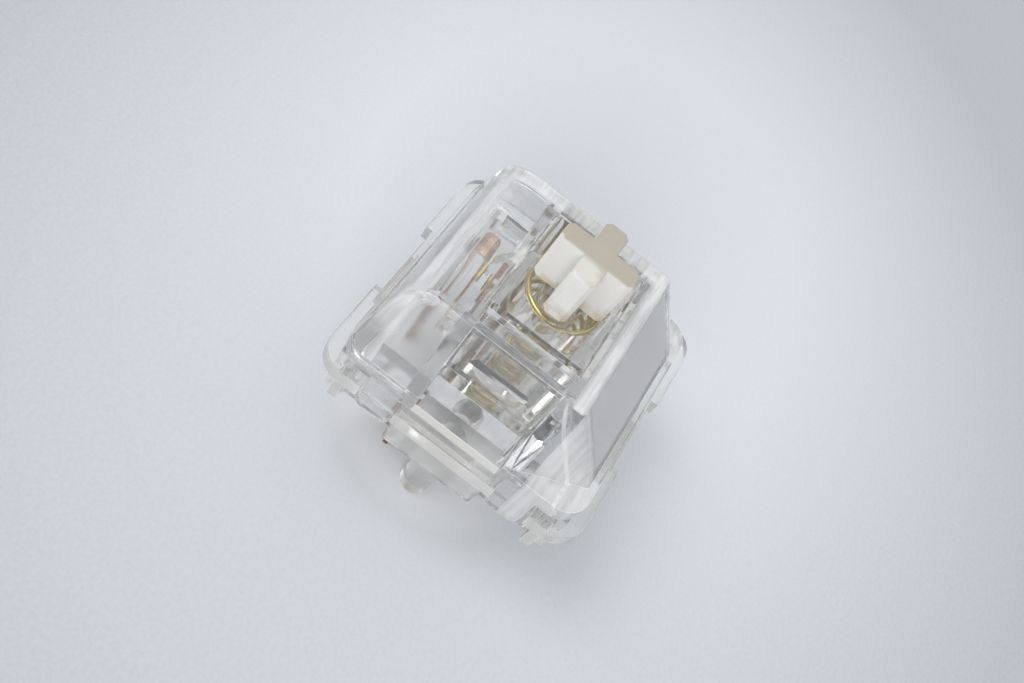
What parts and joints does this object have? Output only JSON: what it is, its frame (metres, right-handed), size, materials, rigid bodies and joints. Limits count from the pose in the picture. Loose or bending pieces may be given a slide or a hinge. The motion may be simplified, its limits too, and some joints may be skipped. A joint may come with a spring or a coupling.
{
  "type": "mechanical keyboard switch",
  "caption": "Clear plate-mounted mechanical keyboard switch with a cross stem, gold return spring, copper contact leaf, frosted light window and two contact pins.",
  "frame": {"origin": "on the axis of the centre post and the stem, in the plane of the flange's underside, where it rests on the keyboard's plate", "axes": "+Z out along the stem towards the keycap, +Y towards the contact pins, +X completes a right-handed frame; the latches are on the +X and -X sides"},
  "size_m": [0.0156, 0.0156, 0.0185],
  "materials": {
    "clear_base": "polished clear",
    "clear_top": "polished clear",
    "clear_stem": "clear body, frosted cross",
    "gold_wire": "gold-plated drawn wire",
    "contact_sheet": "rolled copper alloy",
    "contact_gold": "precious metal",
    "terminal_sheet": "rolled copper alloy",
    "copper_leaf": "bright rolled copper alloy",
    "leaf_gold": "precious metal"
  },
  "bodies": {
    "housing": {"bottom_housing": "clear_base", "top_housing": "clear_top", "return_spring": "gold_wire", "fixed_contact": "contact_sheet", "fixed_contact_point": "contact_gold", "moving_terminal": "terminal_sheet"},
    "stem": {"stem": "clear_stem"},
    "leaf": {"contact_leaf": "copper_leaf", "leaf_contact_point": "leaf_gold"}
  },
  "joints": [
    {"name": "stem_slide", "type": "slide", "parent": "housing", "child": "stem", "axis": [0, 0, -1], "range_m": [0, 0.004], "stiffness_N_per_m": 73.5, "springref_m": -0.004, "deforming": ["return_spring"]},
    {"name": "leaf_flex", "type": "hinge", "parent": "housing", "child": "leaf", "pos_m": [0, 0.00493, -0.0006], "axis": [1, 0, 0], "range_deg": [0, 5.2]}
  ],
  "couplings": [
    {"joint": "leaf_flex", "follows": "stem_slide", "rad_per_m": 22.6}
  ]
}
